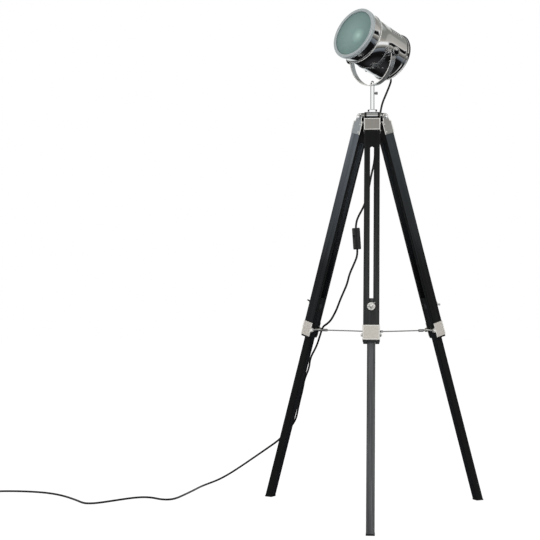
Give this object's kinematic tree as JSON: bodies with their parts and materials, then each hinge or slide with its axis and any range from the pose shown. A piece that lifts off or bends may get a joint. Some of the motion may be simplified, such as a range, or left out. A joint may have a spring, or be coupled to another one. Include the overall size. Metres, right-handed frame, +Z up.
{
  "type": "tripod spotlight floor lamp",
  "caption": "Floor lamp with a round metal spot head in a swivelling yoke on three folding, telescopic wooden legs with a spreader.",
  "frame": {"origin": "on the floor, under the middle of the lamp's box measured without its lead", "axes": "+Z up; -Y towards the front leg; +X to the right when the front leg is nearest"},
  "size_m": [1.6155, 0.796, 1.4426],
  "materials": {
    "stained_wood": "satin",
    "satin_nickel": "satin",
    "bright_steel": "polished",
    "chrome": "polished",
    "rubber": "matte",
    "black_plastic": "satin",
    "frosted_glass": "frosted",
    "bulb_glass": "frosted",
    "holder_plastic": "satin",
    "reflector": "satin"
  },
  "bodies": {
    "frame": {"hub_casting": "satin_nickel", "stem_tube": "chrome", "hinge_bolts": "satin_nickel", "lead_upper": "black_plastic", "lead_lower": "black_plastic", "switch_body": "black_plastic", "plug_body": "black_plastic", "plug_pins": "bright_steel"},
    "yoke": {"yoke_strap": "chrome", "swivel_pin": "chrome", "acorn_nut": "chrome"},
    "head": {"barrel": "chrome", "front_drum": "chrome", "bezel_ring": "chrome", "front_glass": "frosted_glass", "reflector": "reflector", "rear_cap": "chrome", "cord_gland": "black_plastic", "saddle_band": "chrome", "pivot_bosses": "chrome", "band_screws": "chrome", "lamp_holder": "holder_plastic", "bulb": "bulb_glass"},
    "knob_right": {"tilt_knob_right": "chrome"},
    "knob_left": {"tilt_knob_left": "chrome"},
    "stem_screw": {"thumb_screw": "chrome"},
    "rocker": {"switch_rocker": "black_plastic"},
    "spider": {"spreader_spider": "satin_nickel"},
    "leg_front": {"upper_leg_front": "stained_wood", "leg_cap_front": "satin_nickel", "cap_rivets_front": "satin_nickel", "leg_clamp_front": "satin_nickel", "spreader_bolt_front": "satin_nickel"},
    "extension_front": {"lower_leg_front": "stained_wood", "foot_pad_front": "rubber", "lock_bolt_front": "bright_steel"},
    "wing_front": {"wing_nut_front": "bright_steel"},
    "rod_front": {"spreader_rod_front": "bright_steel"},
    "leg_right": {"upper_leg_right": "stained_wood", "leg_cap_right": "satin_nickel", "cap_rivets_right": "satin_nickel", "leg_clamp_right": "satin_nickel", "spreader_bolt_right": "satin_nickel"},
    "extension_right": {"lower_leg_right": "stained_wood", "foot_pad_right": "rubber", "lock_bolt_right": "bright_steel"},
    "wing_right": {"wing_nut_right": "bright_steel"},
    "rod_right": {"spreader_rod_right": "bright_steel"},
    "leg_left": {"upper_leg_left": "stained_wood", "leg_cap_left": "satin_nickel", "cap_rivets_left": "satin_nickel", "leg_clamp_left": "satin_nickel", "spreader_bolt_left": "satin_nickel"},
    "extension_left": {"lower_leg_left": "stained_wood", "foot_pad_left": "rubber", "lock_bolt_left": "bright_steel"},
    "wing_left": {"wing_nut_left": "bright_steel"},
    "rod_left": {"spreader_rod_left": "bright_steel"}
  },
  "joints": [
    {"name": "yoke_pan", "type": "hinge", "parent": "frame", "child": "yoke", "pos_m": [0, 0.08908, 1.225], "axis": [0, 0, 1], "range_deg": [-120, 120], "deforming": ["lead_upper"]},
    {"name": "head_tilt", "type": "hinge", "parent": "yoke", "child": "head", "pos_m": [0, 0.08908, 1.31405], "axis": [0.7242, -0.6896, 0], "range_deg": [-29, 64], "deforming": ["lead_upper"]},
    {"name": "knob_turn_right", "type": "hinge", "parent": "head", "child": "knob_right", "pos_m": [0.06517, 0.02701, 1.31405], "axis": [0.7242, -0.6896, 0], "range_deg": [0, 180]},
    {"name": "knob_turn_left", "type": "hinge", "parent": "head", "child": "knob_left", "pos_m": [-0.06517, 0.15114, 1.31405], "axis": [0.7242, -0.6896, 0], "range_deg": [0, 180]},
    {"name": "stem_screw_turn", "type": "hinge", "parent": "frame", "child": "stem_screw", "pos_m": [0.01, 0.08908, 1.205], "axis": [1, 0, 0], "range_deg": [0, 180]},
    {"name": "leg_fold_front", "type": "hinge", "parent": "frame", "child": "leg_front", "pos_m": [0, 0.05908, 1.136], "axis": [1, 0, 0], "range_deg": [0, 12], "deforming": ["lead_lower", "lead_upper"]},
    {"name": "leg_fold_right", "type": "hinge", "parent": "frame", "child": "leg_right", "pos_m": [0.02598, 0.10408, 1.136], "axis": [-0.5, 0.866, 0], "range_deg": [0, 12], "deforming": ["lead_lower", "lead_upper"]},
    {"name": "leg_fold_left", "type": "hinge", "parent": "frame", "child": "leg_left", "pos_m": [-0.02598, 0.10408, 1.136], "axis": [-0.5, -0.866, 0], "range_deg": [0, 12], "deforming": ["lead_lower", "lead_upper"]},
    {"name": "rod_swing_front", "type": "hinge", "parent": "leg_front", "child": "rod_front", "pos_m": [0, -0.10587, 0.51423], "axis": [1, 0, 0], "range_deg": [0, 66.52]},
    {"name": "rod_swing_right", "type": "hinge", "parent": "leg_right", "child": "rod_right", "pos_m": [0.16883, 0.18655, 0.51423], "axis": [-0.5, 0.866, 0], "range_deg": [0, 66.52]},
    {"name": "rod_swing_left", "type": "hinge", "parent": "leg_left", "child": "rod_left", "pos_m": [-0.16883, 0.18655, 0.51423], "axis": [-0.5, -0.866, 0], "range_deg": [0, 66.52]},
    {"name": "spider_rise", "type": "slide", "parent": "frame", "child": "spider", "axis": [0, 0, 1], "range_m": [0, 0.142]},
    {"name": "leg_slide_front", "type": "slide", "parent": "leg_front", "child": "extension_front", "axis": [0, 0.2849, 0.9586], "range_m": [0, 0.46]},
    {"name": "wing_turn_front", "type": "hinge", "parent": "extension_front", "child": "wing_front", "pos_m": [0, -0.12239, 0.59466], "axis": [0, -0.9586, 0.2849], "range_deg": [0, 180]},
    {"name": "leg_slide_right", "type": "slide", "parent": "leg_right", "child": "extension_right", "axis": [-0.2467, -0.1424, 0.9586], "range_m": [0, 0.46]},
    {"name": "wing_turn_right", "type": "hinge", "parent": "extension_right", "child": "wing_right", "pos_m": [0.18314, 0.19481, 0.59466], "axis": [0.8301, 0.4793, 0.2849], "range_deg": [0, 180]},
    {"name": "leg_slide_left", "type": "slide", "parent": "leg_left", "child": "extension_left", "axis": [0.2467, -0.1424, 0.9586], "range_m": [0, 0.46]},
    {"name": "wing_turn_left", "type": "hinge", "parent": "extension_left", "child": "wing_left", "pos_m": [-0.18314, 0.19481, 0.59466], "axis": [-0.8301, 0.4793, 0.2849], "range_deg": [0, 180]},
    {"name": "rocker_press", "type": "hinge", "parent": "frame", "child": "rocker", "pos_m": [-0.05061, 0.05383, 0.78253], "axis": [0.4999, -0.8661, 0.0043], "range_deg": [-9, 0]}
  ],
  "couplings": [
    {"joint": "leg_fold_right", "follows": "leg_fold_front", "ratio": 1},
    {"joint": "leg_fold_left", "follows": "leg_fold_front", "ratio": 1},
    {"joint": "rod_swing_front", "follows": "leg_fold_front", "ratio": 5.5421},
    {"joint": "rod_swing_right", "follows": "leg_fold_front", "ratio": 5.5421},
    {"joint": "rod_swing_left", "follows": "leg_fold_front", "ratio": 5.5421},
    {"joint": "spider_rise", "follows": "leg_fold_front", "m_per_rad": 0.67758}
  ]
}
